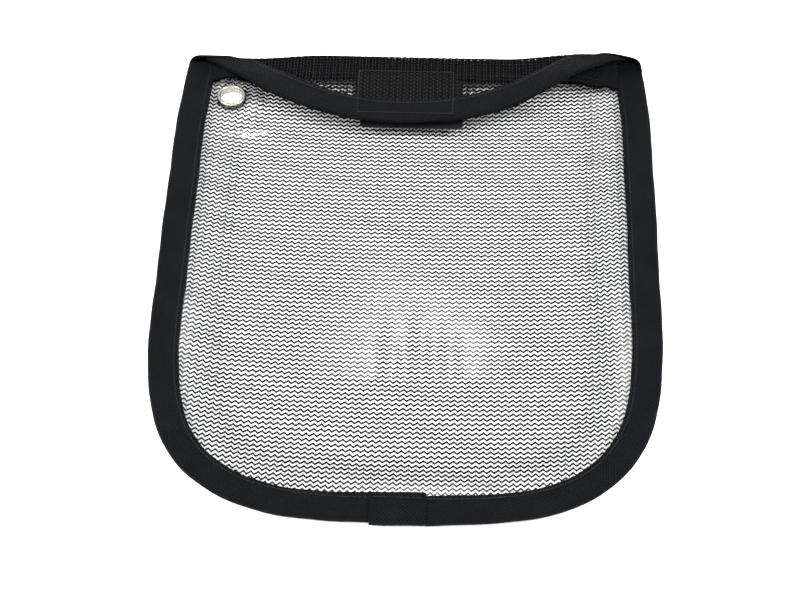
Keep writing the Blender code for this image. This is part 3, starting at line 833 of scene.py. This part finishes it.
def rectangle(x_middle, top, inset, step):
    x0, x1 = x_middle - PATCH_W / 2 + inset, x_middle + PATCH_W / 2 - inset
    y0, y1 = FOLD_Y - top - PATCH_H + inset, FOLD_Y - top - inset
    return resampled([(x0, y0), (x1, y0), (x1, y1), (x0, y1), (x0, y0)], step)[:-1]


inside_patch = rectangle(HOOK_X, HOOK_TOP, 0.0020, 0.0026)
hook_seam_z = np.full(len(inside_patch), HOOK_Z - GAP - FILM_T - 0.0002)
hook_seam = stitches("hook_patch_stitches", np.column_stack([inside_patch, hook_seam_z]), closed=True)
outside_patch = rectangle(LOOP_X, LOOP_TOP, 0.0020, 0.0013)
into_flap = outside_patch[:, 1] - flap_edge_y(outside_patch[:, 0])
on_tape = smooth((BAND + 0.0008 - into_flap) / 0.0008)
oz = flap_z(outside_patch[:, 0], outside_patch[:, 1]) + MESH_T + 0.0002 + (TAPE_T + GAP) * on_tape
loop_seam = stitches("loop_patch_stitches", np.column_stack([outside_patch, oz]), closed=True)


# Hook and loop


def pad(builder, x_middle, top, low, high):
    """The backing strip, a slab with small rounded corners and soft upper and lower edges."""
    corner = 0.002
    rings = []
    for inset, z in ((0.0002, low), (0.0, low + 0.00012), (0.0, high - 0.00012), (0.0002, high)):
        ring = []
        for quarter, (sx, up) in enumerate(((1, 1), (-1, 1), (-1, 0), (1, 0))):
            cx = x_middle + sx * (PATCH_W / 2 - corner)
            cy = FOLD_Y - top - corner if up else FOLD_Y - top - PATCH_H + corner
            for a in np.linspace(0, math.pi / 2, 6) + quarter * math.pi / 2:
                ring.append((cx + (corner - inset) * math.cos(a), cy + (corner - inset) * math.sin(a), z))
        rings.append(ring)
    builder.grid(rings)


def hook_patch():
    """Backing strip with rows of small hooks that turn left and right by turns."""
    made = Builder()
    base = HOOK_Z + 0.00045
    pad(made, HOOK_X, HOOK_TOP, HOOK_Z, base)
    top = HOOK_Z + PATCH_T - 0.00005
    rise = top - base
    rows = np.arange(FOLD_Y - HOOK_TOP - PATCH_H + 0.0032, FOLD_Y - HOOK_TOP - 0.0030, 0.0015)
    for r, y in enumerate(rows):
        way = 1 if r % 2 else -1
        first = HOOK_X - PATCH_W / 2 + 0.0034 + 0.0007 * (r % 2)
        for x in np.arange(first, HOOK_X + PATCH_W / 2 - 0.0032, 0.0017):
            px = x + way * np.array([0, 0, 0.00010, 0.00034, 0.00044])
            pz = base - 0.00005 + rise * np.array([0, 0.62, 0.92, 0.98, 0.62])
            path = np.column_stack([px, np.full(5, y), pz])
            made.tube(path, np.tile((0, 1.0, 0), (5, 1)), 0.00011, 0.00011, 4)
    return made.finish("hook_pad", [HOOKS])


def loop_patch():
    """Backing strip with curls that hang from it towards the hooks."""
    made = Builder()
    base = LOOP_Z + PATCH_T - 0.0004
    pad(made, LOOP_X, LOOP_TOP, base, LOOP_Z + PATCH_T)
    t = np.linspace(0, math.pi, 6)
    for k in range(2300):
        x = LOOP_X + rng.uniform(-1, 1) * (PATCH_W / 2 - 0.0028)
        y = FOLD_Y - LOOP_TOP - PATCH_H / 2 + rng.uniform(-1, 1) * (PATCH_H / 2 - 0.0026)
        a, r, d = rng.uniform(0, math.pi), rng.uniform(0.0004, 0.0009), rng.uniform(0.0004, 0.00078)
        px = x + r * np.cos(t) * math.cos(a)
        py = y + r * np.cos(t) * math.sin(a)
        pz = base + 0.00005 - d * np.sin(t)
        normals = np.tile((math.sin(a), -math.cos(a), 0.0), (6, 1))
        made.tube(np.column_stack([px, py, pz]), normals, 0.00007, 0.00007, 3)
    return made.finish("loop_pad", [LOOPS])


hook_pad = hook_patch()
loop_pad = loop_patch()


# Eyelet


def turned(name, profile, segments=128):
    """A profile of (radius, height) turned round the eyelet's axis, its seam welded."""
    made = Builder()
    r, z = np.asarray(profile).T
    rings = []
    for a in np.linspace(0, 2 * math.pi, segments + 1)[:-1]:
        rings.append(np.column_stack([EYELET_X + r * math.cos(a), EYELET_Y + r * math.sin(a), z]))
    rings.append(rings[0])
    made.grid(rings, caps=False)
    found = made.finish(name, [METAL])
    joined = bmesh.new()
    joined.from_mesh(found.data)
    bmesh.ops.remove_doubles(joined, verts=joined.verts, dist=1e-6)
    bmesh.ops.recalc_face_normals(joined, faces=joined.faces)
    joined.to_mesh(found.data)
    joined.free()
    return found


def eyelet():
    """Rounded flange and barrel, open through the middle."""
    top = EYELET_SEAT + SEWN_T + GAP
    barrel = EYELET_BORE_R + 0.0005
    low = EYELET_SEAT - GAP - WASHER_T
    middle, half = (EYELET_BORE_R + EYELET_R) / 2, (EYELET_R - EYELET_BORE_R) / 2
    arc = np.linspace(math.pi * 0.98, 0.02 * math.pi, 15)
    crown = [(middle + half * math.cos(a), top + 0.0001 + 0.0009 * math.sin(a)) for a in arc]
    throat = [(EYELET_BORE_R, low + 0.0002), (EYELET_BORE_R, low + 0.0010), (EYELET_BORE_R, top - 0.0004)]
    under = [(EYELET_R - 0.0003, top), (barrel, top), (barrel, low + 0.0001), (barrel - 0.0002, low)]
    return turned("eyelet_ring", throat + crown + under)


def washer():
    """The ring that the barrel is set against at the back."""
    low = EYELET_SEAT - GAP - WASHER_T
    high = low + WASHER_T
    inner, rim = EYELET_BORE_R + 0.0008, 0.0004
    arc = np.linspace(0, math.pi / 2, 6)
    outer = [(EYELET_R - rim + rim * math.cos(a), low + rim - rim * math.sin(a)) for a in arc]
    return turned("washer_ring", [(inner, low), (inner, high), (EYELET_R, high), *outer])


eyelet_ring = eyelet()
washer_ring = washer()


# How the pieces move and what they stand for

POUCH = {
    knit_back: ("back_mesh_panel", "knit_mesh"),
    film: ("front_clear_panel", "clear_film"),
    perimeter: ("perimeter_binding", "binding_tape"),
    mouth: ("mouth_binding", "binding_tape"),
    seam_over: ("perimeter_needle_thread", "thread"),
    seam_under: ("perimeter_bobbin_thread", "thread"),
    mouth_over: ("mouth_needle_thread", "thread"),
    mouth_under: ("mouth_bobbin_thread", "thread"),
    hook_pad: ("hook_patch", "hook_tape"),
    hook_seam: ("hook_patch_thread", "thread"),
    eyelet_ring: ("eyelet", "nickel_plate"),
    washer_ring: ("eyelet_washer", "nickel_plate"),
}
FLAP = {
    knit_flap: ("flap_mesh_panel", "knit_mesh"),
    flap_band: ("flap_binding", "binding_tape"),
    flap_over: ("flap_needle_thread", "thread"),
    flap_under: ("flap_bobbin_thread", "thread"),
    loop_pad: ("loop_patch", "loop_tape"),
    loop_seam: ("loop_patch_thread", "thread"),
}
for group, body in ((POUCH, "pouch"), (FLAP, "flap")):
    for piece, (stands_for, finish) in group.items():
        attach(piece, body)
        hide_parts(stands_for)

for piece in (knit_fold, corner_right):
    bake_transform(piece)
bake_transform(corner_left)


# Studio

bpy.ops.mesh.primitive_plane_add(size=6.0, location=(0, 0, -0.00002))
ground = bpy.context.object
ground.name = "ground"
floor_look, tree, shader = blank("studio_floor", 0.9)
shader.inputs["Specular IOR Level"].default_value = 0.0
grain = node(tree, "TexNoise", {"Scale": 40.0, "Detail": 2.0})
tinted(tree, shader, grain, (0.90, 0.90, 0.90), (0.93, 0.93, 0.93))
ground.data.materials.append(floor_look)

world = bpy.data.worlds.new("studio")
bpy.context.scene.world = world
world.use_nodes = True
world.node_tree.nodes["Background"].inputs[0].default_value = (1, 1, 1, 1)
world.node_tree.nodes["Background"].inputs[1].default_value = 1.75

camera_data = bpy.data.cameras.new("camera")
camera = bpy.data.objects.new("camera", camera_data)
bpy.context.collection.objects.link(camera)
camera_data.lens = 102.9
camera_data.sensor_width = 36.0
camera_data.clip_start = 0.01
TARGET = Vector((-0.0037, -0.0127, 0.0))
DISTANCE, ELEVATION, AZIMUTH = 1.179, math.radians(50.6), math.radians(1.7)
away = Vector(
    (math.sin(AZIMUTH) * math.cos(ELEVATION), -math.cos(AZIMUTH) * math.cos(ELEVATION), math.sin(ELEVATION))
)
camera.location = TARGET + away * DISTANCE
camera.rotation_euler = (-away).to_track_quat("-Z", "Y").to_euler()
bpy.context.scene.camera = camera
bpy.context.scene.view_settings.view_transform = "Standard"


def softbox(name, place, size, power, target=(0.0, 0.0, 0.0)):
    data = bpy.data.lights.new(name, "AREA")
    data.shape = "RECTANGLE"
    data.size, data.size_y = size
    data.energy = power
    made = bpy.data.objects.new(name, data)
    bpy.context.collection.objects.link(made)
    made.location = place
    made.rotation_euler = (Vector(target) - Vector(place)).to_track_quat("-Z", "Y").to_euler()
    return made


def glint(name, x, y, size, power, distance=1.3):
    """A small lamp whose mirror image lies on the clear film at a plan point."""
    step = 0.002
    slope_x = (film_z(x + step, y) - film_z(x - step, y)) / (2 * step)
    slope_y = (film_z(x, y + step) - film_z(x, y - step)) / (2 * step)
    normal = Vector((-float(slope_x), -float(slope_y), 1.0)).normalized()
    spot = Vector(placed((x, y, float(film_z(x, y)) + FILM_T)))
    to_camera = (camera.location - spot).normalized()
    mirrored = 2 * normal.dot(to_camera) * normal - to_camera
    return softbox(name, spot + mirrored * distance, size, power, spot)


softbox("key_left", (-1.3, -0.5, 1.6), (1.0, 1.0), 55)
softbox("key_right", (1.3, -0.3, 1.7), (1.0, 1.0), 55)
softbox("front", (0.0, -1.8, 0.9), (1.4, 0.7), 26)
glint("glint_eyelet", -0.092, 0.258, (0.10, 0.05), 2.6)
glint("glint_low", 0.010, 0.082, (0.06, 0.12), 1.2)
